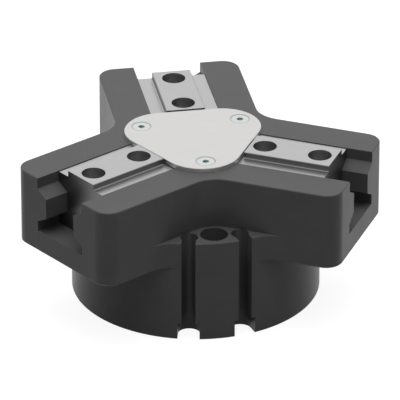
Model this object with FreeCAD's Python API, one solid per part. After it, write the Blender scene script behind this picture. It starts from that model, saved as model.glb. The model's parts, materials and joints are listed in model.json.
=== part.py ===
"""Three-jaw parallel gripper, driven by compressed air.

A round cylinder carries three arms. In each arm a base jaw slides along a T-slot.
A piston lifts a wedge hook, whose three inclined slots pull the jaws outward together.
Millimetres. The origin is on the gripper's axis at its base face, and +Z points to the jaws.
"""

import FreeCAD, Part
import math
import os

V = FreeCAD.Vector
ORIGIN = V(0, 0, 0)
UP = V(0, 0, 1)

# Arms and the gaps between them, as directions round the axis in degrees
arm_angles = (90, 210, 330)
front_gap, right_gap, left_gap = 270, 30, 150
gap_angles = (front_gap, right_gap, left_gap)
arm_spacing = 120
half_sector = math.radians(arm_spacing / 2)

# Housing outside
cylinder_r = 50.0
ledge_z = 42.7
top_z = 63.5
arm_bottom_z = 31.55
arm_reach = 69.6
arm_width = 57.9
arm_corner_r = 6.8
arm_root_r = 12.7
outline_bevel = 0.3
edge_bevel = 0.3

# How far a cutting shape runs past the surface that it opens, and what counts as the same place
overrun = 1.0
same_place = 1e-6

# T-slots, from the mouth down
slot_width = 27.7
slot_neck_width = 17.1
slot_mouth_wall = 4.45
slot_slope = 3.0
slot_neck_wall = 8.45
slot_foot_wall = 4.25

# Base jaws
jaw_stroke = 8.0
jaw_length = 35.5
rib_width = 15.75
rib_rise = 2.2
rib_fillet_r = 0.5
rib_bevel = 0.2
flange_drop = 0.33
jaw_hole_r = 4.75
jaw_hole_depth = 6.0
jaw_thread_r = 3.4
jaw_thread_depth = 16.0
jaw_hole_inset = 6.0
jaw_hole_spacing = 23.0
nose_gap = 1.5
slide_gap = 0.1
neck_gap = 0.5

# T-tongues of the jaws in the wedge hook
tongue_width = 5.8
tongue_head_width = 10.8
tongue_lip = 3.0
tongue_head = 4.0
tongue_height = 15.85
tongue_gap = 0.15
face_gap = 0.4

# Cover plate and its countersunk screws
plate_thickness = 2.0
plate_lobe_r = 15.65
plate_lobe_reach = 13.7
plate_bevel = 0.25
plate_jaw_gap = 0.8
cover_screw_circle_r = 23.1
cover_screw_r = 1.95
cover_screw_head_r = 4.0
cover_screw_length = 12.0
cover_screw_sink = 0.1
cover_socket = 2.5
cover_socket_depth = 1.3
screw_gap = 0.05
thread_spare = 2.0

# Cylinder bore, piston and rod
bore_r = 35.0
piston_stroke = 12.0
piston_height = 8.0
stop_gap = 0.25
piston_gap = 0.1
partition = 6.0
relief_depth = 0.8
relief_height = 2.5
rod_r = 9.0
rod_gap = 0.05
bush_wall = 1.55
bush_length = 2.8
rod_seal_wall = 2.95
rod_seal_height = 2.4
spigot_r = 6.0
spigot_height = 3.0

# Rings on the piston, as heights above its underside
magnet_height = 2.2
magnet_wall = 3.2
piston_seal_low = 3.0
piston_seal_height = 2.2
piston_seal_wall = 3.0
guide_low = 5.8
guide_height = 1.6
guide_wall = 1.5
piston_bevel = 0.5

# Wedge hook and its screw
wedge_height = 15.7
wedge_top_r = 17.0
wing_gap = 0.3
pocket_gap = 0.5
wedge_lift = 0.3
piston_screw_r = 4.0
piston_screw_head_r = 6.5
piston_screw_head = 8.0
piston_screw_reach = 18.0
piston_socket = 6.0
piston_socket_depth = 4.0
piston_screw_gap = 0.15
washer_thickness = 1.2
washer_sink = 0.5
head_gap = 1.0

# Cylinder cap, its seal and its retaining ring
cap_seat_z = 7.5
cap_step = 1.5
cap_gap = 0.1
cap_rise = 0.3
cap_boss_r = 29.5
ring_z = 1.1
ring_thickness = 1.7
ring_groove_depth = 1.1
ring_width = 4.1
ring_opening = 16.0
ring_lug_r = 2.2
ring_lug_hole_r = 1.1
ring_gap = 0.1
cap_seal_height = 2.2
cap_seal_wall = 1.8

# Holes in the gaps between the arms
mount_circle_r = 42.2
mount_hole_r = 3.4
mount_seat_r = 5.55
mount_seat_depth = 9.0
dowel_circle_r = 43.0
dowel_hole_r = 2.5
dowel_hole_depth = 8.0
dowel_angle = 16.0

# Sensor grooves either side of the front mounting hole
groove_angle = 13.2
groove_r = 3.55
groove_depth = 9.3
groove_mouth = 5.6
notch_width = 8.8
notch_height = 7.0

# Air ports in the right-hand gap, and the plugged ports under them in the base
port_angle = 14.0
port_r = 4.3
port_depth = 9.0
port_seat_r = 7.0
port_seat_depth = 0.6
channel_r = 1.2
channel_rise = 0.3
base_port_r = 2.1
base_port_inset = 5.5
plug_length = 4.0
plug_sink = 0.4
plug_socket = 2.5
plug_socket_depth = 2.0

# Places that follow from the sizes
arm_half = arm_width / 2
arm_root_reach = arm_half / math.sin(half_sector)
slot_half = slot_width / 2
neck_half = slot_neck_width / 2
mouth_low_z = top_z - slot_mouth_wall
neck_high_z = mouth_low_z - slot_slope
neck_low_z = neck_high_z - slot_neck_wall
foot_high_z = neck_low_z - slot_slope
slot_floor_z = foot_high_z - slot_foot_wall
slope_rise = slot_slope / (slot_half - neck_half)

plate_flat_r = plate_lobe_r + plate_lobe_reach * math.cos(half_sector)
plate_top_z = top_z + plate_thickness
rib_start_r = plate_flat_r + plate_jaw_gap
jaw_end_r = rib_start_r + jaw_length
rib_top_z = top_z + rib_rise
flange_top_z = top_z - flange_drop
foot_bottom_z = slot_floor_z + slide_gap
jaw_nose_r = slot_half / math.tan(half_sector) + nose_gap
jaw_hole_places = (rib_start_r + jaw_hole_inset, rib_start_r + jaw_hole_inset + jaw_hole_spacing)
tongue_top_z = foot_bottom_z + tongue_height

piston_bottom_z = cap_seat_z + stop_gap
piston_top_z = piston_bottom_z + piston_height
piston_r = bore_r - piston_gap
chamber_top_z = piston_top_z + piston_stroke + stop_gap
pocket_floor_z = chamber_top_z + partition
wedge_bottom_z = pocket_floor_z + wedge_lift
wedge_top_z = wedge_bottom_z + wedge_height
wing_half = neck_half - wing_gap
wedge_ratio = jaw_stroke / piston_stroke
slot_bottom = tongue_lip + tongue_head + 2 * tongue_gap
seal_floor_z = chamber_top_z + rod_seal_height
bush_top_z = seal_floor_z + bush_length
bush_r = rod_r + rod_gap + bush_wall
seal_pocket_r = rod_r + rod_seal_wall
washer_bottom_z = wedge_top_z - washer_sink - piston_screw_head - washer_thickness
screw_bottom_z = washer_bottom_z - piston_screw_reach

cap_bore_r = bore_r + cap_step
cap_r = cap_bore_r - cap_gap
ring_top_z = ring_z + ring_thickness
cap_rim_z = ring_top_z + ring_gap
cap_seal_low_z = (cap_rim_z + cap_seat_z - cap_seal_height) / 2
ring_groove_r = cap_bore_r + ring_groove_depth
ring_r = ring_groove_r - ring_gap
ring_inner_r = ring_r - ring_width

upper_port_z = chamber_top_z - relief_height / 2
lower_port_z = cap_seat_z + channel_r + channel_rise
base_port_circle_r = cylinder_r - base_port_inset
groove_centre_r = cylinder_r - groove_depth + groove_r


def turned(shape, angle):
    """Copy of a shape turned about the gripper's axis."""
    copy = shape.copy()
    copy.rotate(ORIGIN, UP, angle)
    return copy


def place(along, across, z, angle):
    """Point on an arm or a gap that lies in a direction."""
    return FreeCAD.Rotation(UP, angle).multVec(V(along, across, z))


def around(shape, angles):
    """Copies of a shape that points along +X, one for each direction."""
    return [turned(shape, angle) for angle in angles]


def flat_face(points):
    """Face inside a closed outline of straight edges."""
    return Part.Face(Part.makePolygon(points + points[:1]))


def slab(outline, half_width):
    """Solid with an outline in the radial plane, as wide to the left as to the right."""
    face = flat_face([V(r, -half_width, z) for r, z in outline])
    return face.extrude(V(0, 2 * half_width, 0))


def block(r_low, r_high, half_width, z_low, z_high):
    """Box along +X, the same to both sides."""
    size = (r_high - r_low, 2 * half_width, z_high - z_low)
    return Part.makeBox(*size, V(r_low, -half_width, z_low))


def rod(radius, z_low, z_high, reach=0.0):
    """Upright round bar at a distance along +X."""
    return Part.makeCylinder(radius, z_high - z_low, V(reach, 0, z_low), UP)


def side_bar(radius, r_low, r_high, z):
    """Level round bar along +X."""
    return Part.makeCylinder(radius, r_high - r_low, V(r_low, 0, z), V(1, 0, 0))


def turning(outline):
    """Solid turned about the axis from a radial outline."""
    return flat_face([V(r, 0, z) for r, z in outline]).revolve(ORIGIN, UP, 360)


def ring(inner_r, outer_r, z_low, z_high):
    """Plain ring about the axis."""
    return rod(outer_r, z_low, z_high).cut(rod(inner_r, z_low, z_high))


def hexagon(width, z_low, z_high, reach=0.0):
    """Hexagon socket of a width across its flats."""
    corner_r = width / math.sqrt(3)
    corners = [math.radians(60 * side) for side in range(6)]
    face = flat_face([V(reach + corner_r * math.cos(a), corner_r * math.sin(a), z_low) for a in corners])
    return face.extrude(V(0, 0, z_high - z_low))


def both_sides(side):
    """Section across an arm from its right-hand side, given from top to bottom."""
    right = [V(0, y, z) for y, z in side]
    left = [V(0, -y, z) for y, z in reversed(side)]
    return flat_face(right + left)


def face_r(z, inward=0.0):
    """Radius of the wedge hook's inclined face at a height, or of a plane further in."""
    return wedge_top_r + (wedge_top_z - z) * wedge_ratio - inward


def inclined(inward_low, inward_high, half_width, z_low, z_high):
    """Slab between two planes that are parallel to the wedge hook's face."""
    outline = [
        (face_r(z_low, inward_low), z_low),
        (face_r(z_high, inward_low), z_high),
        (face_r(z_high, inward_high), z_high),
        (face_r(z_low, inward_high), z_low),
    ]
    return slab(outline, half_width)


def is_upright(edge):
    """Whether an edge runs parallel to the axis."""
    low, high = edge.Vertexes[0].Point, edge.Vertexes[-1].Point
    return abs(high.z - low.z) > 0 and math.hypot(high.x - low.x, high.y - low.y) < same_place


def axis_distance(edge):
    """Distance of an edge's middle from the gripper's axis."""
    return math.hypot(edge.CenterOfMass.x, edge.CenterOfMass.y)


def edges_at(shape, z):
    """The edges of a shape that lie wholly at a height."""
    level = []
    for edge in shape.Edges:
        box = edge.BoundBox
        if abs(box.ZMin - z) < same_place and abs(box.ZMax - z) < same_place:
            level.append(edge)
    return level


def arm_star():
    """The three arms as one prism with rounded corners and roots."""
    corners = []
    for angle, gap in zip(arm_angles, (left_gap, front_gap, right_gap)):
        corners.append(place(arm_reach, -arm_half, arm_bottom_z, angle))
        corners.append(place(arm_reach, arm_half, arm_bottom_z, angle))
        corners.append(place(arm_root_reach, 0, arm_bottom_z, gap))
    star = flat_face(corners).extrude(V(0, 0, top_z - arm_bottom_z))
    upright = [e for e in star.Edges if is_upright(e)]
    star = star.makeFillet(arm_corner_r, [e for e in upright if axis_distance(e) > arm_reach])
    upright = [e for e in star.Edges if is_upright(e)]
    roots = [e for e in upright if abs(axis_distance(e) - arm_root_reach) < same_place]
    star = star.makeFillet(arm_root_r, roots)
    star = star.makeChamfer(outline_bevel, edges_at(star, top_z))
    return star.makeChamfer(edge_bevel, edges_at(star, arm_bottom_z))


def skirt():
    """Ledge below the arm tops: the cylinder's outline, blended into the arms' walls by hollow rounds."""
    web_across = arm_half + arm_root_r
    web_centre_r = cylinder_r + arm_root_r
    web_along = math.sqrt(web_centre_r ** 2 - web_across ** 2)
    web_angle = math.degrees(math.asin(web_across / web_centre_r))
    middle_turn = (90 + 180 - web_angle) / 2
    wall_end = arm_reach - arm_corner_r
    z = arm_bottom_z
    edges = []
    for angle, gap in zip(arm_angles, (left_gap, front_gap, right_gap)):
        joins = []
        for side in (-1, 1):
            centre = place(web_along, side * web_across, z, angle)
            middle = centre + place(arm_root_r, 0, 0, angle - side * middle_turn)
            on_cylinder = place(cylinder_r, 0, z, angle + side * web_angle)
            on_wall = place(web_along, side * arm_half, z, angle)
            edges.append(Part.Arc(on_cylinder, middle, on_wall).toShape())
            edges.append(Part.makeLine(on_wall, place(wall_end, side * arm_half, z, angle)))
            joins.append(on_cylinder)
        edges.append(Part.makeLine(place(wall_end, -arm_half, z, angle), place(wall_end, arm_half, z, angle)))
        next_join = place(cylinder_r, 0, z, angle + arm_spacing - web_angle)
        edges.append(Part.Arc(joins[1], place(cylinder_r, 0, z, gap), next_join).toShape())
    outline = Part.Wire(Part.__sortEdges__(edges))
    prism = Part.Face(outline).extrude(V(0, 0, ledge_z - z))
    prism = prism.makeChamfer(outline_bevel, edges_at(prism, ledge_z))
    return prism.makeChamfer(edge_bevel, edges_at(prism, z))


def slot_cutter():
    """T-slot along +X, open at the mouth and at the arm's end."""
    side = [
        (slot_half, top_z + overrun),
        (slot_half, mouth_low_z),
        (neck_half, neck_high_z),
        (neck_half, neck_low_z),
        (slot_half, foot_high_z),
        (slot_half, slot_floor_z),
    ]
    return both_sides(side).extrude(V(arm_reach + overrun, 0, 0))


def wedge_pocket():
    """Room below the slots for one wing of the wedge hook."""
    reach = face_r(wedge_bottom_z) + pocket_gap
    return block(0, reach, neck_half, pocket_floor_z, slot_floor_z + overrun)


def cylinder_bore():
    """Bore for the piston, the cap, its ring, the rod seal and the bush, from below."""
    relief_r = bore_r + relief_depth
    return turning([
        (0, -overrun),
        (cap_bore_r + edge_bevel + overrun, -overrun),
        (cap_bore_r, edge_bevel),
        (cap_bore_r, ring_z - ring_gap),
        (ring_groove_r, ring_z - ring_gap),
        (ring_groove_r, cap_rim_z),
        (cap_bore_r, cap_rim_z),
        (cap_bore_r, cap_seat_z),
        (bore_r, cap_seat_z),
        (bore_r, chamber_top_z - relief_height),
        (relief_r, chamber_top_z - relief_height),
        (relief_r, chamber_top_z),
        (seal_pocket_r, chamber_top_z),
        (seal_pocket_r, seal_floor_z),
        (bush_r, seal_floor_z),
        (bush_r, bush_top_z),
        (rod_r + wing_gap, bush_top_z),
        (rod_r + wing_gap, pocket_floor_z + overrun),
        (0, pocket_floor_z + overrun),
    ])


def mounting_hole():
    """Through hole with a seat for a screw head, along +X at the mounting circle."""
    hole = rod(mount_hole_r, -overrun, ledge_z + overrun, mount_circle_r)
    seat = rod(mount_seat_r, ledge_z - mount_seat_depth, top_z + overrun, mount_circle_r)
    return hole.fuse(seat)


def sensor_groove():
    """Round groove with a narrower mouth, with a wider notch at the base."""
    low = -overrun
    high = ledge_z + overrun
    outside = cylinder_r + overrun
    round_part = rod(groove_r, low, high, groove_centre_r)
    mouth = block(groove_centre_r, outside, groove_mouth / 2, low, high)
    notch_half = notch_width / 2
    notch_r = cylinder_r - groove_depth + notch_half
    notch = block(notch_r, outside, notch_half, low, notch_height)
    notch_end = rod(notch_half, low, notch_height, notch_r)
    return round_part.fuse([mouth, notch, notch_end])


def air_port(height):
    """Threaded port in the cylinder's side, its flat seat and its channel to the chamber."""
    seat = side_bar(port_seat_r, cylinder_r - port_seat_depth, cylinder_r + overrun, height)
    port = side_bar(port_r, cylinder_r - port_depth, cylinder_r + overrun, height)
    channel = side_bar(channel_r, bore_r - overrun, cylinder_r - port_depth + overrun, height)
    base_port = rod(base_port_r, -overrun, height, base_port_circle_r)
    return port.fuse([seat, channel, base_port])


def housing():
    """Cylinder and arms, machined from one piece."""
    body = rod(cylinder_r, 0, ledge_z - outline_bevel)
    body = body.makeChamfer(edge_bevel, edges_at(body, 0))
    body = body.fuse([skirt(), arm_star()]).removeSplitter()
    thread_low_z = plate_top_z - cover_screw_sink - cover_screw_length - thread_spare
    cuts = around(slot_cutter(), arm_angles)
    cuts += around(wedge_pocket(), arm_angles)
    cuts += around(mounting_hole(), gap_angles)
    screw_hole = rod(cover_screw_r + screw_gap, thread_low_z, top_z + overrun, cover_screw_circle_r)
    cuts += around(screw_hole, gap_angles)
    cuts += around(countersink(screw_gap), gap_angles)
    cuts += around(sensor_groove(), (front_gap - groove_angle, front_gap + groove_angle))
    dowel_hole = rod(dowel_hole_r, -overrun, dowel_hole_depth, dowel_circle_r)
    cuts += around(dowel_hole, (left_gap - dowel_angle, left_gap + dowel_angle))
    cuts.append(turned(air_port(lower_port_z), right_gap - port_angle))
    cuts.append(turned(air_port(upper_port_z), right_gap + port_angle))
    cuts.append(cylinder_bore())
    return body.cut(cuts)


def base_jaw():
    """Sliding jaw along +X, with its raised rib, two holes and T-tongue."""
    rib_half = rib_width / 2
    wide = slot_half - slide_gap
    narrow = neck_half - neck_gap
    upper_slope_z = mouth_low_z + slide_gap
    lower_slope_z = foot_high_z - slide_gap
    run = (wide - narrow) * slope_rise
    side = [
        (rib_half - rib_bevel, rib_top_z),
        (rib_half, rib_top_z - rib_bevel),
        (rib_half, flange_top_z),
        (wide, flange_top_z),
        (wide, upper_slope_z),
        (narrow, upper_slope_z - run),
        (narrow, lower_slope_z + run),
        (wide, lower_slope_z),
        (wide, foot_bottom_z),
    ]
    jaw = both_sides(side).extrude(V(jaw_end_r, 0, 0))
    feet = [e for e in edges_at(jaw, flange_top_z) if abs(abs(e.CenterOfMass.y) - rib_half) < same_place]
    jaw = jaw.makeFillet(rib_fillet_r, feet)
    jaw = jaw.cut(block(-overrun, rib_start_r, slot_half, flange_top_z, rib_top_z + overrun))
    nose = block(-overrun, jaw_nose_r, slot_half, slot_floor_z, top_z)
    above_z = top_z + overrun
    below_z = slot_floor_z - overrun
    inside = slab([
        (-overrun, below_z),
        (face_r(below_z, -face_gap), below_z),
        (face_r(above_z, -face_gap), above_z),
        (-overrun, above_z),
    ], slot_half)
    jaw = jaw.cut([nose, inside])
    tongue_lip_side = tongue_lip + tongue_gap
    neck = inclined(-face_gap, tongue_lip_side, tongue_width / 2, foot_bottom_z, tongue_top_z)
    head_end = tongue_lip_side + tongue_head
    head = inclined(tongue_lip_side, head_end, tongue_head_width / 2, foot_bottom_z, tongue_top_z)
    jaw = jaw.fuse([neck, head])
    above_z = rib_top_z + overrun
    holes = [rod(jaw_hole_r, rib_top_z - jaw_hole_depth, above_z, r) for r in jaw_hole_places]
    holes += [rod(jaw_thread_r, rib_top_z - jaw_thread_depth, rib_top_z, r) for r in jaw_hole_places]
    return jaw.cut(holes).removeSplitter()


def wedge_hook():
    """Three-winged hook on the piston rod, with an inclined T-slot in each wing."""
    outline = [
        (0, wedge_bottom_z),
        (face_r(wedge_bottom_z), wedge_bottom_z),
        (face_r(wedge_top_z), wedge_top_z),
        (0, wedge_top_z),
    ]
    wings = around(slab(outline, wing_half), arm_angles)
    hook = wings[0].fuse(wings[1:])
    low = wedge_bottom_z - overrun
    high = wedge_top_z + overrun
    slot_neck = inclined(-overrun, tongue_lip, tongue_width / 2 + tongue_gap, low, high)
    slot_head = inclined(tongue_lip, slot_bottom, tongue_head_width / 2 + tongue_gap, low, high)
    cuts = around(slot_neck, arm_angles) + around(slot_head, arm_angles)
    cuts.append(rod(spigot_r + screw_gap, low, wedge_bottom_z + spigot_height + screw_gap))
    cuts.append(rod(piston_screw_r + piston_screw_gap, low, high))
    cuts.append(rod(piston_screw_head_r + head_gap, washer_bottom_z, high))
    return hook.cut(cuts).removeSplitter()


def piston():
    """Piston with grooves for its rings, and its rod with a spigot and a thread."""
    bottom = piston_bottom_z
    seal_low_z = bottom + piston_seal_low
    seal_high_z = seal_low_z + piston_seal_height
    guide_low_z = bottom + guide_low
    guide_high_z = guide_low_z + guide_height
    body = turning([
        (0, bottom),
        (piston_r - magnet_wall, bottom),
        (piston_r - magnet_wall, bottom + magnet_height),
        (piston_r, bottom + magnet_height),
        (piston_r, seal_low_z),
        (piston_r - piston_seal_wall, seal_low_z),
        (piston_r - piston_seal_wall, seal_high_z),
        (piston_r, seal_high_z),
        (piston_r, guide_low_z),
        (piston_r - guide_wall, guide_low_z),
        (piston_r - guide_wall, guide_high_z),
        (piston_r, guide_high_z),
        (piston_r, piston_top_z - piston_bevel),
        (piston_r - piston_bevel, piston_top_z),
        (rod_r, piston_top_z),
        (rod_r, wedge_bottom_z),
        (spigot_r, wedge_bottom_z),
        (spigot_r, wedge_bottom_z + spigot_height),
        (0, wedge_bottom_z + spigot_height),
    ])
    thread_r = piston_screw_r + screw_gap
    return body.cut(rod(thread_r, screw_bottom_z - thread_spare, wedge_top_z))


def piston_ring(low, height, wall):
    """Ring in one of the piston's grooves."""
    z = piston_bottom_z + low
    return ring(piston_r - wall, piston_r, z, z + height)


def piston_screw():
    """Socket head screw that holds the wedge hook on the rod."""
    seat_z = washer_bottom_z + washer_thickness
    head_top_z = seat_z + piston_screw_head
    shank = rod(piston_screw_r, screw_bottom_z, seat_z)
    head = rod(piston_screw_head_r, seat_z, head_top_z)
    head = head.makeChamfer(edge_bevel, edges_at(head, head_top_z))
    socket = hexagon(piston_socket, head_top_z - piston_socket_depth, head_top_z + overrun)
    return head.fuse(shank).cut(socket)


def lock_washer():
    """Washer under the head of the piston screw."""
    inner_r = piston_screw_r + piston_screw_gap
    return ring(inner_r, piston_screw_head_r, washer_bottom_z, washer_bottom_z + washer_thickness)


def cylinder_cap():
    """Disc that closes the cylinder from below, with a groove for its seal."""
    seal_high_z = cap_seal_low_z + cap_seal_height
    return turning([
        (0, cap_rise),
        (cap_boss_r - edge_bevel, cap_rise),
        (cap_boss_r, cap_rise + edge_bevel),
        (cap_boss_r, cap_rim_z),
        (cap_r, cap_rim_z),
        (cap_r, cap_seal_low_z),
        (cap_r - cap_seal_wall, cap_seal_low_z),
        (cap_r - cap_seal_wall, seal_high_z),
        (cap_r, seal_high_z),
        (cap_r, cap_seat_z),
        (0, cap_seat_z),
    ])


def retaining_ring():
    """Open spring ring with two lugs for the pliers."""
    body = ring(ring_inner_r, ring_r, ring_z, ring_top_z)
    lug_y = ring_opening / 2
    body = body.cut(block(0, ring_r + overrun, lug_y - ring_lug_r, ring_z, ring_top_z))
    lugs = []
    holes = []
    for side in (-1, 1):
        centre = V(math.sqrt(ring_inner_r ** 2 - lug_y ** 2), side * lug_y, ring_z)
        lugs.append(Part.makeCylinder(ring_lug_r, ring_thickness, centre, UP))
        holes.append(Part.makeCylinder(ring_lug_hole_r, ring_thickness, centre, UP))
    return body.fuse(lugs).cut(holes).removeSplitter()


def cover_plate():
    """Rounded triangular plate over the middle, countersunk for its screws."""
    lobes = around(rod(plate_lobe_r, top_z, plate_top_z, plate_lobe_reach), gap_angles)
    along = plate_lobe_reach + plate_lobe_r * math.cos(half_sector)
    across = plate_lobe_r * math.sin(half_sector)
    outline = [place(along, side * across, top_z, gap) for gap in gap_angles for side in (-1, 1)]
    middle = flat_face(outline).extrude(V(0, 0, plate_thickness))
    plate = middle.fuse(lobes).removeSplitter()
    plate = plate.makeChamfer(plate_bevel, edges_at(plate, plate_top_z))
    return plate.cut(around(countersink(screw_gap), gap_angles))


def countersink(gap):
    """Room for a countersunk head and its shank, at the cover screw circle."""
    depth = cover_screw_head_r - cover_screw_r
    head_top_z = plate_top_z - cover_screw_sink
    cone = turning([
        (0, head_top_z - depth),
        (cover_screw_r + gap, head_top_z - depth),
        (cover_screw_head_r + gap, head_top_z),
        (cover_screw_head_r + gap, plate_top_z + overrun),
        (0, plate_top_z + overrun),
    ])
    cone.translate(V(cover_screw_circle_r, 0, 0))
    return cone.fuse(rod(cover_screw_r + gap, top_z - overrun, plate_top_z, cover_screw_circle_r))


def cover_screw():
    """Countersunk screw with a hexagon socket."""
    head_top_z = plate_top_z - cover_screw_sink
    head_low_z = head_top_z - (cover_screw_head_r - cover_screw_r)
    screw = turning([
        (0, head_top_z - cover_screw_length),
        (cover_screw_r, head_top_z - cover_screw_length),
        (cover_screw_r, head_low_z),
        (cover_screw_head_r, head_top_z),
        (0, head_top_z),
    ])
    screw.translate(V(cover_screw_circle_r, 0, 0))
    socket_low_z = head_top_z - cover_socket_depth
    socket = hexagon(cover_socket, socket_low_z, head_top_z + overrun, cover_screw_circle_r)
    return screw.cut(socket)


def base_port_plug():
    """Short screw that closes a port in the base."""
    top = plug_sink + plug_length
    body = rod(base_port_r - screw_gap, plug_sink, top, base_port_circle_r)
    socket = hexagon(plug_socket, plug_sink - overrun, plug_sink + plug_socket_depth, base_port_circle_r)
    return body.cut(socket)


def gripper_parts():
    """Every piece by its name."""
    parts = {
        "housing": housing(),
        "cover_plate": cover_plate(),
        "cylinder_cap": cylinder_cap(),
        "cap_seal": ring(cap_r - cap_seal_wall, cap_r, cap_seal_low_z, cap_seal_low_z + cap_seal_height),
        "retaining_ring": turned(retaining_ring(), front_gap),
        "rod_bush": ring(rod_r + rod_gap, bush_r, seal_floor_z, bush_top_z),
        "rod_seal": ring(rod_r + piston_gap, seal_pocket_r, chamber_top_z, seal_floor_z),
        "base_port_plug_1": turned(base_port_plug(), right_gap - port_angle),
        "base_port_plug_2": turned(base_port_plug(), right_gap + port_angle),
        "piston": piston(),
        "magnet_ring": piston_ring(0, magnet_height, magnet_wall),
        "piston_seal": piston_ring(piston_seal_low, piston_seal_height, piston_seal_wall),
        "piston_guide_ring": piston_ring(guide_low, guide_height, guide_wall),
        "wedge_hook": wedge_hook(),
        "piston_screw": piston_screw(),
        "lock_washer": lock_washer(),
    }
    for number, gap in enumerate(gap_angles, 1):
        parts[f"cover_screw_{number}"] = turned(cover_screw(), gap)
    for number, angle in enumerate(arm_angles, 1):
        parts[f"base_jaw_{number}"] = turned(base_jaw(), angle)
    return parts


os.makedirs("parts", exist_ok=True)
for name, shape in gripper_parts().items():
    shape.exportStep(f"parts/{name}.step")
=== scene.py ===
"""Looks of the three-jaw parallel gripper: finishes, fine threads, camera and studio.

Metres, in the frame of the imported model: +Z points to the jaws and -Y to the sensor grooves.
"""

import json
import math

import bmesh
import bpy
from mathutils import Matrix, Vector


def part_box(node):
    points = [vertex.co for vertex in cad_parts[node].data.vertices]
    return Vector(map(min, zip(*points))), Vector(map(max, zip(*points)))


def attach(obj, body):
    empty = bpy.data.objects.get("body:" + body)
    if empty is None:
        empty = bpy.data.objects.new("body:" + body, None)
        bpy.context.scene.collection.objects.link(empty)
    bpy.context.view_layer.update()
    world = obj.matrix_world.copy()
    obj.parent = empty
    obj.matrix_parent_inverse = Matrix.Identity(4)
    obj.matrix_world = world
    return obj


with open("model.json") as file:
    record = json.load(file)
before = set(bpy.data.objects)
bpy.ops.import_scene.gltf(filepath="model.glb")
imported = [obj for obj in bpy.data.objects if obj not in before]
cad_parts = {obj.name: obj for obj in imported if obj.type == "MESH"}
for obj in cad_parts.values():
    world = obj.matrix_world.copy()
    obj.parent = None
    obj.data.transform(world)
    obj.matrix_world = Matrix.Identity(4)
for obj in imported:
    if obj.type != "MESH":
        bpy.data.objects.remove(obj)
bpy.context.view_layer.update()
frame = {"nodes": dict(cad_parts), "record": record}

# Direction of each jaw's arm and of the gaps between the arms, in degrees
ARM_ANGLES = {"base_jaw_1": 90, "base_jaw_2": 210, "base_jaw_3": 330}
GAP_ANGLES = (270, 30, 150)
MM = 0.001

# Tones that several pieces share
ZINC = (0.545, 0.572, 0.572)
GROUND_STEEL = (0.408, 0.408, 0.408)
# Painted shade: the darker tone painted on the jaws' upright sides
PAINTED_SHADE_SIDES = (0.14, 0.14, 0.14)

# Fine structure of the finishes: scales of the textures, where a larger one is finer
ANODISED_CLOUD = 90.0
ANODISED_GRAIN = 5200.0
GROUND_LINES = (26, 1700, 1700)
GROUND_LINE_SCALE = 3.0
GROUND_CLOUD = 60.0
TURNED_RINGS = 700.0
MOULDED_CLOUD = 700.0
SMALL_CLOUD = 900.0

# Detail of the noise in the finishes
FINE_DETAIL = 2.0
LINE_DETAIL = 4.0
LINE_ROUGHNESS = 0.6
RING_DISTORTION = 0.4

# Relief of the finishes in metres
GRAIN_RELIEF = 0.000004
LINE_RELIEF = 0.000003
SMALL_RELIEF = 0.000002

# How much a finish varies: its tone in shares of the full one, and its roughness up and down
LINE_SPREAD = 0.05
RING_DARKEST = 0.93
SMALL_DARKEST = 0.9
ROUGHNESS_SWING = 0.03

# Usual range of a noise value
NOISE_LOW = 0.3
NOISE_HIGH = 0.7

# Specular level of the anodised black, which is nearly matte
BLACK_GLOSS = 0.12

# Screw heads: the share of brightness left in the painted shade at the rim, where the head meets the
# countersink, and where the rim is in shares of the radius
RIM_SHADE = 0.68
RIM_START = 0.82
RIM_END = 0.9

# Jaws: painted shade on their upright sides, kept off their upward faces and bores: upward part of the
# normal where the ground tone starts and where it is full, half the width that the bores stay inside, and
# the skin at the jaw's end that they don't reach
UPWARD_START = 0.6
UPWARD_END = 0.95
BORE_REACH = 0.006
END_SKIN = 0.001

# M8 threads of the jaws and the base
M8_CORE_R = 0.0034
M8_PITCH = 0.00125
M8_DEPTH = 0.00045
JAW_THREAD_START = 0.0066
JAW_THREAD_LENGTH = 0.0085
BASE_THREAD_START = 0.0006
BASE_THREAD_LENGTH = 0.012

# G1/8 threads of the air ports
PORT_PITCH = 0.000907
PORT_DEPTH = 0.00035
PORT_THREAD_START = 0.0004
PORT_THREAD_LENGTH = 0.0066

# Form of every thread: steps in a turn, how far its root is sunk in the wall, and the half widths of its
# root and crest in pitches
THREAD_STEPS = 28
ROOT_SINK = 0.00003
ROOT_HALF = 0.42
CREST_HALF = 0.06

# Camera of the photograph: a long lens, above and a little to the left of the front, moved right and up
# from its line to the frame's origin
LENS_MM = 482.4
SENSOR_MM = 36.0
CAMERA_AZIMUTH = -9.904
CAMERA_ELEVATION = 27.323
CAMERA_DISTANCE = 2.16656
AIM_RIGHT = 0.001715
AIM_UP = 0.03239
CLIP_START = 0.1
CLIP_END = 20.0

# Brightness of the surroundings as they are seen, also in metal and glass
SKY_SEEN = 1.0
FLOOR_SEEN = 0.90

# Sky as light on the object: its strength overhead, and how fast that falls towards the horizon
SKY_LIGHT = 3.5
SKY_FALL = 6.0

# Floor: half its width, and the tone that takes the shadow
FLOOR_REACH = 6.0
FLOOR_TONE = 0.25

# Soft lights: azimuth, elevation, distance, size and power
LIGHTS = {
    "back_light": (175, 28, 2.6, 2.2, 3.1),
    "right_light": (125, 22, 2.6, 2.8, 4.5),
    "left_light": (-138, 28, 2.6, 3.4, 4.5),
    "front_light": (25, 34, 2.6, 3.0, 2.0),
}
LIGHT_AIM_HEIGHT = 0.04

# Sockets of a Mix node that mixes colours
COLOUR_A = 6
COLOUR_B = 7
COLOUR_RESULT = 2


def mounts():
    """The record's mounts by name."""
    return {mount["name"]: mount for mount in frame["record"]["mounts"]}


def along(angle):
    """Unit vector of a horizontal direction in degrees."""
    return Vector((math.cos(math.radians(angle)), math.sin(math.radians(angle)), 0))


def shaded(tone, share):
    """A tone at a share of its brightness."""
    return tuple(channel * share for channel in tone)


# Shader nodes

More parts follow.
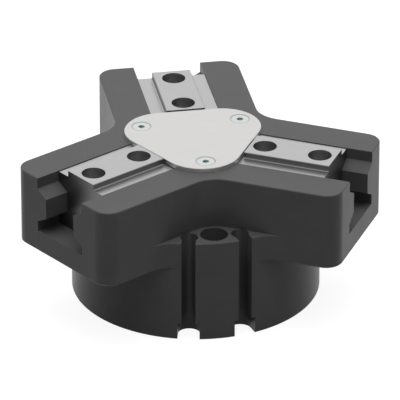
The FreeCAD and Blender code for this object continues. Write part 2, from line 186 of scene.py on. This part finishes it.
def new_material(name):
    """Material with a principled shader, and its node tree."""
    material = bpy.data.materials.new(name)
    material.use_nodes = True
    tree = material.node_tree
    shader = tree.nodes["Principled BSDF"]
    return material, tree, shader


def add_node(tree, kind, **properties):
    """Shader node with its properties set."""
    node = tree.nodes.new(kind)
    for key, value in properties.items():
        setattr(node, key, value)
    return node


def math_node(tree, operation, *values):
    """Result of a math node on values and sockets."""
    node = add_node(tree, "ShaderNodeMath", operation=operation)
    for socket, value in zip(node.inputs, values):
        if isinstance(value, (int, float)):
            socket.default_value = value
        else:
            tree.links.new(value, socket)
    return node.outputs[0]


def split(tree, vector):
    """Outputs X, Y and Z of a vector."""
    node = add_node(tree, "ShaderNodeSeparateXYZ")
    tree.links.new(vector, node.inputs[0])
    return node.outputs


def object_place(tree, scale=(1, 1, 1), turn=0.0):
    """Texture place from the object's own coordinates, turned about Z and stretched."""
    place = add_node(tree, "ShaderNodeTexCoord")
    turned = add_node(tree, "ShaderNodeMapping")
    turned.inputs["Rotation"].default_value = (0, 0, math.radians(turn))
    tree.links.new(place.outputs["Object"], turned.inputs["Vector"])
    stretched = add_node(tree, "ShaderNodeMapping")
    stretched.inputs["Scale"].default_value = scale
    tree.links.new(turned.outputs["Vector"], stretched.inputs["Vector"])
    return stretched.outputs["Vector"]


def noise(tree, place, scale, detail=3.0, roughness=0.55):
    """Noise value on a place."""
    node = add_node(tree, "ShaderNodeTexNoise")
    node.inputs["Scale"].default_value = scale
    node.inputs["Detail"].default_value = detail
    node.inputs["Roughness"].default_value = roughness
    tree.links.new(place, node.inputs["Vector"])
    return node.outputs["Fac"]


def ranged(tree, value, low, high, from_low=NOISE_LOW, from_high=NOISE_HIGH):
    """A value mapped from its usual range to another range."""
    node = add_node(tree, "ShaderNodeMapRange")
    node.inputs["From Min"].default_value = from_low
    node.inputs["From Max"].default_value = from_high
    node.inputs["To Min"].default_value = low
    node.inputs["To Max"].default_value = high
    tree.links.new(value, node.inputs["Value"])
    return node.outputs["Result"]


def two_tones(tree, value, low, high):
    """Colour between two by a value, where each is a tone or another node's colour."""
    node = add_node(tree, "ShaderNodeMix", data_type="RGBA")
    for place, colour in ((COLOUR_A, low), (COLOUR_B, high)):
        if isinstance(colour, tuple):
            node.inputs[place].default_value = (*colour, 1)
        else:
            tree.links.new(colour, node.inputs[place])
    tree.links.new(value, node.inputs["Factor"])
    return node.outputs[COLOUR_RESULT]


def bump(tree, shader, height, depth):
    """Fine relief on the shader's normal, with its depth in metres."""
    node = add_node(tree, "ShaderNodeBump")
    node.inputs["Distance"].default_value = depth
    tree.links.new(height, node.inputs["Height"])
    tree.links.new(node.outputs["Normal"], shader.inputs["Normal"])


# Finishes

def anodised(name, dark, light, rough):
    """Hard-anodised aluminium: a fine matte grain with slightly uneven depth of colour."""
    material, tree, shader = new_material(name)
    place = object_place(tree)
    cloud = ranged(tree, noise(tree, place, ANODISED_CLOUD), 0, 1)
    grain = noise(tree, place, ANODISED_GRAIN, FINE_DETAIL)
    roughness = ranged(tree, cloud, rough - ROUGHNESS_SWING, rough + ROUGHNESS_SWING, 0, 1)
    tree.links.new(two_tones(tree, cloud, dark, light), shader.inputs["Base Color"])
    tree.links.new(roughness, shader.inputs["Roughness"])
    shader.inputs["Specular IOR Level"].default_value = BLACK_GLOSS
    bump(tree, shader, grain, GRAIN_RELIEF)
    return material


def ground_metal(name, tone, rough, turn):
    """Ground or brushed metal, with its fine lines along a direction in degrees."""
    material, tree, shader = new_material(name)
    place = object_place(tree, GROUND_LINES, -turn)
    lines = noise(tree, place, GROUND_LINE_SCALE, LINE_DETAIL, LINE_ROUGHNESS)
    cloud = noise(tree, object_place(tree), GROUND_CLOUD)
    dark = shaded(tone, 1 - LINE_SPREAD)
    light = shaded(tone, 1 + LINE_SPREAD)
    colour = two_tones(tree, ranged(tree, lines, 0, 1), dark, light)
    roughness = ranged(tree, cloud, rough - ROUGHNESS_SWING, rough + ROUGHNESS_SWING)
    tree.links.new(colour, shader.inputs["Base Color"])
    tree.links.new(roughness, shader.inputs["Roughness"])
    shader.inputs["Metallic"].default_value = 1.0
    bump(tree, shader, lines, LINE_RELIEF)
    return material


def jaw_steel(name, rough, turn, end):
    """Steel of a jaw: ground bright on its upward faces and in its bores, with painted shade on its upright
    sides.
    """
    material = ground_metal(name, GROUND_STEEL, rough, turn)
    tree = material.node_tree
    shader = tree.nodes["Principled BSDF"]
    bright = shader.inputs["Base Color"].links[0].from_socket
    normal = split(tree, add_node(tree, "ShaderNodeTexCoord").outputs["Normal"])
    upward = ranged(tree, normal["Z"], 0, 1, UPWARD_START, UPWARD_END)
    spot = split(tree, object_place(tree, turn=-turn))
    narrow = math_node(tree, "LESS_THAN", math_node(tree, "ABSOLUTE", spot["Y"]), BORE_REACH)
    inner = math_node(tree, "LESS_THAN", spot["X"], end - END_SKIN)
    unshaded = math_node(tree, "MAXIMUM", upward, math_node(tree, "MULTIPLY", narrow, inner))
    # painted shade: the upright sides darker, while the upward faces and the bores keep the ground tone
    colour = two_tones(tree, unshaded, PAINTED_SHADE_SIDES, bright)
    tree.links.new(colour, shader.inputs["Base Color"])
    return material


def turned_metal(name, tone, rough):
    """Turned metal, with fine rings about the gripper's axis."""
    material, tree, shader = new_material(name)
    waves = add_node(tree, "ShaderNodeTexWave", wave_type="RINGS", rings_direction="Z")
    waves.inputs["Scale"].default_value = TURNED_RINGS
    waves.inputs["Distortion"].default_value = RING_DISTORTION
    tree.links.new(object_place(tree), waves.inputs["Vector"])
    colour = two_tones(tree, waves.outputs["Fac"], shaded(tone, RING_DARKEST), tone)
    tree.links.new(colour, shader.inputs["Base Color"])
    shader.inputs["Roughness"].default_value = rough
    shader.inputs["Metallic"].default_value = 1.0
    bump(tree, shader, waves.outputs["Fac"], LINE_RELIEF)
    return material


def plain_metal(name, tone, rough):
    """Small metal piece with a faint uneven tone."""
    material, tree, shader = new_material(name)
    cloud = noise(tree, object_place(tree), SMALL_CLOUD)
    colour = two_tones(tree, ranged(tree, cloud, 0, 1), shaded(tone, SMALL_DARKEST), tone)
    tree.links.new(colour, shader.inputs["Base Color"])
    shader.inputs["Roughness"].default_value = rough
    shader.inputs["Metallic"].default_value = 1.0
    bump(tree, shader, cloud, SMALL_RELIEF)
    return material


def plated_head(name, tone, rough, centre, head_r):
    """Plated screw head about a vertical axis, with painted shade around its rim where it meets the
    countersink.
    """
    material, tree, shader = new_material(name)
    place = add_node(tree, "ShaderNodeTexCoord")
    flat = add_node(tree, "ShaderNodeMapping")
    flat.inputs["Scale"].default_value = (1, 1, 0)
    flat.inputs["Location"].default_value = (-centre.x, -centre.y, 0)
    tree.links.new(place.outputs["Object"], flat.inputs["Vector"])
    radius = add_node(tree, "ShaderNodeVectorMath", operation="LENGTH")
    tree.links.new(flat.outputs["Vector"], radius.inputs[0])
    shaded_rim = ranged(tree, radius.outputs["Value"], 0, 1, head_r * RIM_START, head_r * RIM_END)
    # painted shade: the rim of the head darker, for the gap to the countersink
    colour = two_tones(tree, shaded_rim, tone, shaded(tone, RIM_SHADE))
    tree.links.new(colour, shader.inputs["Base Color"])
    shader.inputs["Roughness"].default_value = rough
    shader.inputs["Metallic"].default_value = 1.0
    bump(tree, shader, noise(tree, place.outputs["Object"], SMALL_CLOUD), SMALL_RELIEF)
    return material


def moulded(name, dark, light, rough):
    """Rubber or plastic with a faint grain."""
    material, tree, shader = new_material(name)
    cloud = noise(tree, object_place(tree), MOULDED_CLOUD)
    colour = two_tones(tree, ranged(tree, cloud, 0, 1), dark, light)
    tree.links.new(colour, shader.inputs["Base Color"])
    shader.inputs["Roughness"].default_value = rough
    bump(tree, shader, cloud, GRAIN_RELIEF)
    return material


def dress_nodes():
    """Finish of every node of the frame."""
    blackened = plain_metal("blackened_steel", (0.07, 0.07, 0.075), 0.42)
    rubber = moulded("seal_rubber", (0.018, 0.018, 0.018), (0.026, 0.026, 0.026), 0.55)
    finishes = {
        "housing": anodised("hard_anodised", (0.094, 0.094, 0.0945), (0.104, 0.104, 0.1045), 0.37),
        "cover_plate": ground_metal("brushed_plate", (0.553, 0.548, 0.539), 0.36, 0),
        "cylinder_cap": anodised("anodised_cap", (0.05, 0.05, 0.051), (0.058, 0.058, 0.059), 0.38),
        "retaining_ring": plain_metal("spring_steel", (0.10, 0.10, 0.11), 0.38),
        "rod_bush": turned_metal("sintered_bronze", (0.62, 0.40, 0.20), 0.45),
        "cap_seal": rubber,
        "rod_seal": rubber,
        "piston_seal": rubber,
        "base_port_plug_1": blackened,
        "base_port_plug_2": blackened,
        "piston": turned_metal("turned_aluminium", (0.66, 0.66, 0.67), 0.30),
        "magnet_ring": moulded("bonded_magnet", (0.05, 0.05, 0.052), (0.065, 0.065, 0.068), 0.6),
        "piston_guide_ring": moulded("guide_strip", (0.15, 0.09, 0.06), (0.19, 0.12, 0.08), 0.5),
        "wedge_hook": ground_metal("hardened_steel", (0.40, 0.40, 0.41), 0.32, 90),
        "piston_screw": blackened,
        "lock_washer": plain_metal("zinc_plated", ZINC, 0.30),
    }
    jaw_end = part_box("base_jaw_1")[1].y
    for number, (jaw, angle) in enumerate(ARM_ANGLES.items(), 1):
        screw = f"cover_screw_{number}"
        low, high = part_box(screw)
        centre = (low + high) / 2
        head_r = (high.x - low.x) / 2
        finishes[screw] = plated_head(f"zinc_head_{number}", ZINC, 0.30, centre, head_r)
        finishes[jaw] = jaw_steel(f"ground_steel_painted_shade_{number}", 0.34, angle, jaw_end)
    for name, material in finishes.items():
        node = frame["nodes"][name]
        node.data.materials.clear()
        node.data.materials.append(material)
        for polygon in node.data.polygons:
            polygon.use_smooth = True
    return finishes


# Threads

def thread(name, material, body, radius, pitch, depth, length, mouth, axis):
    """Helical ridge on a hole's wall, from near the mouth inwards, that fades out at both ends."""
    count = int(length / pitch * THREAD_STEPS)
    rotation = axis.to_track_quat("Z", "Y").to_matrix()
    mesh = bmesh.new()
    rows = []
    for step in range(count + 1):
        angle = 2 * math.pi * step / THREAD_STEPS
        fade = min(step, count - step) / (THREAD_STEPS / 2)
        crest_r = radius - depth * min(1.0, fade)
        root_r = radius + ROOT_SINK
        out = Vector((math.cos(angle), math.sin(angle), 0))
        middle = -pitch * step / THREAD_STEPS
        section = (
            out * root_r + Vector((0, 0, middle + pitch * ROOT_HALF)),
            out * crest_r + Vector((0, 0, middle + pitch * CREST_HALF)),
            out * crest_r + Vector((0, 0, middle - pitch * CREST_HALF)),
            out * root_r + Vector((0, 0, middle - pitch * ROOT_HALF)),
        )
        rows.append([mesh.verts.new(mouth + rotation @ point) for point in section])
    for row, following in zip(rows, rows[1:]):
        for side in range(len(row)):
            corner = (side + 1) % len(row)
            mesh.faces.new((row[side], row[corner], following[corner], following[side]))
    mesh.faces.new(rows[0][::-1])
    mesh.faces.new(rows[-1])
    bmesh.ops.recalc_face_normals(mesh, faces=mesh.faces)
    data = bpy.data.meshes.new(name)
    mesh.to_mesh(data)
    mesh.free()
    data.materials.append(material)
    piece = bpy.data.objects.new(name, data)
    bpy.context.scene.collection.objects.link(piece)
    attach(piece, body)


def add_threads(finishes):
    """Threads in the jaws, in the base's mounting holes and in the air ports."""
    given = mounts()
    black = finishes["housing"]
    up = Vector((0, 0, 1))
    for number, (jaw, angle) in enumerate(ARM_ANGLES.items(), 1):
        holes = given[f"jaw_{number}_holes"]
        middle = Vector(holes["pos_m"])
        half = holes["dims"]["pcd_mm"] * MM / 2
        for letter, side in (("a", -1), ("b", 1)):
            mouth = middle + along(angle) * (side * half) - up * JAW_THREAD_START
            thread(f"jaw_{number}_thread_{letter}", finishes[jaw], f"jaw_{number}",
                   M8_CORE_R, M8_PITCH, M8_DEPTH, JAW_THREAD_LENGTH, mouth, up)
    circle = given["base_bolts"]["dims"]["pcd_mm"] * MM / 2
    for number, gap in enumerate(GAP_ANGLES, 1):
        mouth = along(gap) * circle + up * BASE_THREAD_START
        thread(f"base_thread_{number}", black, "housing",
               M8_CORE_R, M8_PITCH, M8_DEPTH, BASE_THREAD_LENGTH, mouth, -up)
    for name in ("air_port_open", "air_port_close"):
        port = given[name]
        axis = Vector(port["axis"])
        mouth = Vector(port["pos_m"]) - axis * PORT_THREAD_START
        thread(f"{name}_thread", black, "housing",
               port["dims"]["r_mm"] * MM, PORT_PITCH, PORT_DEPTH, PORT_THREAD_LENGTH, mouth, axis)


# Studio

def camera_axes(azimuth, elevation):
    """Unit vectors to the right, up and back of a camera that looks at the object."""
    turn = math.radians(azimuth)
    tilt = math.radians(elevation)
    back = Vector((math.sin(turn) * math.cos(tilt), -math.cos(turn) * math.cos(tilt), math.sin(tilt)))
    right = Vector((math.cos(turn), math.sin(turn), 0))
    return right, back.cross(right), back


def add_camera():
    """Camera at the photograph's place."""
    right, up, back = camera_axes(CAMERA_AZIMUTH, CAMERA_ELEVATION)
    data = bpy.data.cameras.new("camera")
    data.lens = LENS_MM
    data.sensor_width = SENSOR_MM
    data.clip_start = CLIP_START
    data.clip_end = CLIP_END
    camera = bpy.data.objects.new("camera", data)
    camera.matrix_world = Matrix.Translation(
        back * CAMERA_DISTANCE + right * AIM_RIGHT + up * AIM_UP
    ) @ Matrix((right, up, back)).transposed().to_4x4()
    bpy.context.scene.collection.objects.link(camera)
    bpy.context.scene.camera = camera


def add_light(name, azimuth, elevation, distance, size, power):
    """Square soft light that faces the object from a direction."""
    _, _, back = camera_axes(azimuth, elevation)
    data = bpy.data.lights.new(name, "AREA")
    data.shape = "SQUARE"
    data.size = size
    data.energy = power
    light = bpy.data.objects.new(name, data)
    light.location = back * distance + Vector((0, 0, LIGHT_AIM_HEIGHT))
    light.rotation_euler = back.to_track_quat("Z", "Y").to_euler()
    bpy.context.scene.collection.objects.link(light)


def brightness(tree, seen, as_light):
    """Strength of the background: one to the camera, in reflections and through glass, another as light."""
    path = add_node(tree, "ShaderNodeLightPath")
    mirrored = math_node(tree, "ADD", path.outputs["Is Camera Ray"], path.outputs["Is Glossy Ray"])
    rays = math_node(tree, "ADD", mirrored, path.outputs["Is Transmission Ray"])
    watched = math_node(tree, "MINIMUM", rays, 1.0)
    shown = math_node(tree, "MULTIPLY", watched, seen)
    unwatched = math_node(tree, "SUBTRACT", 1.0, watched)
    return math_node(tree, "ADD", shown, math_node(tree, "MULTIPLY", unwatched, as_light))


def add_world():
    """White surroundings, whose light on the object comes mostly from overhead."""
    world = bpy.data.worlds.new("studio")
    bpy.context.scene.world = world
    world.use_nodes = True
    tree = world.node_tree
    tree.nodes.clear()
    output = add_node(tree, "ShaderNodeOutputWorld")
    surroundings = add_node(tree, "ShaderNodeBackground")
    surroundings.inputs["Color"].default_value = (1, 1, 1, 1)
    direction = split(tree, add_node(tree, "ShaderNodeTexCoord").outputs["Generated"])
    upward = math_node(tree, "MAXIMUM", direction["Z"], 0.0)
    overhead = math_node(tree, "MULTIPLY", math_node(tree, "POWER", upward, SKY_FALL), SKY_LIGHT)
    tree.links.new(brightness(tree, SKY_SEEN, overhead), surroundings.inputs["Strength"])
    tree.links.new(surroundings.outputs[0], output.inputs["Surface"])


def add_floor():
    """White floor that keeps a soft shadow of the object."""
    mesh = bmesh.new()
    bmesh.ops.create_grid(mesh, x_segments=1, y_segments=1, size=FLOOR_REACH)
    data = bpy.data.meshes.new("floor")
    mesh.to_mesh(data)
    mesh.free()
    floor = bpy.data.objects.new("floor", data)
    bpy.context.scene.collection.objects.link(floor)
    material = bpy.data.materials.new("floor_white")
    material.use_nodes = True
    tree = material.node_tree
    tree.nodes.clear()
    output = add_node(tree, "ShaderNodeOutputMaterial")
    matte = add_node(tree, "ShaderNodeBsdfDiffuse")
    matte.inputs["Color"].default_value = (FLOOR_TONE, FLOOR_TONE, FLOOR_TONE, 1)
    glow = add_node(tree, "ShaderNodeEmission")
    glow.inputs["Color"].default_value = (1, 1, 1, 1)
    tree.links.new(brightness(tree, FLOOR_SEEN, 0.0), glow.inputs["Strength"])
    total = add_node(tree, "ShaderNodeAddShader")
    tree.links.new(matte.outputs[0], total.inputs[0])
    tree.links.new(glow.outputs[0], total.inputs[1])
    tree.links.new(total.outputs[0], output.inputs["Surface"])
    data.materials.append(material)


def add_studio():
    """Floor, surroundings and lights."""
    add_world()
    add_floor()
    for name, light in LIGHTS.items():
        add_light(name, *light)
    bpy.context.scene.view_settings.view_transform = "Standard"


add_threads(dress_nodes())
add_camera()
add_studio()
bpy.context.view_layer.update()
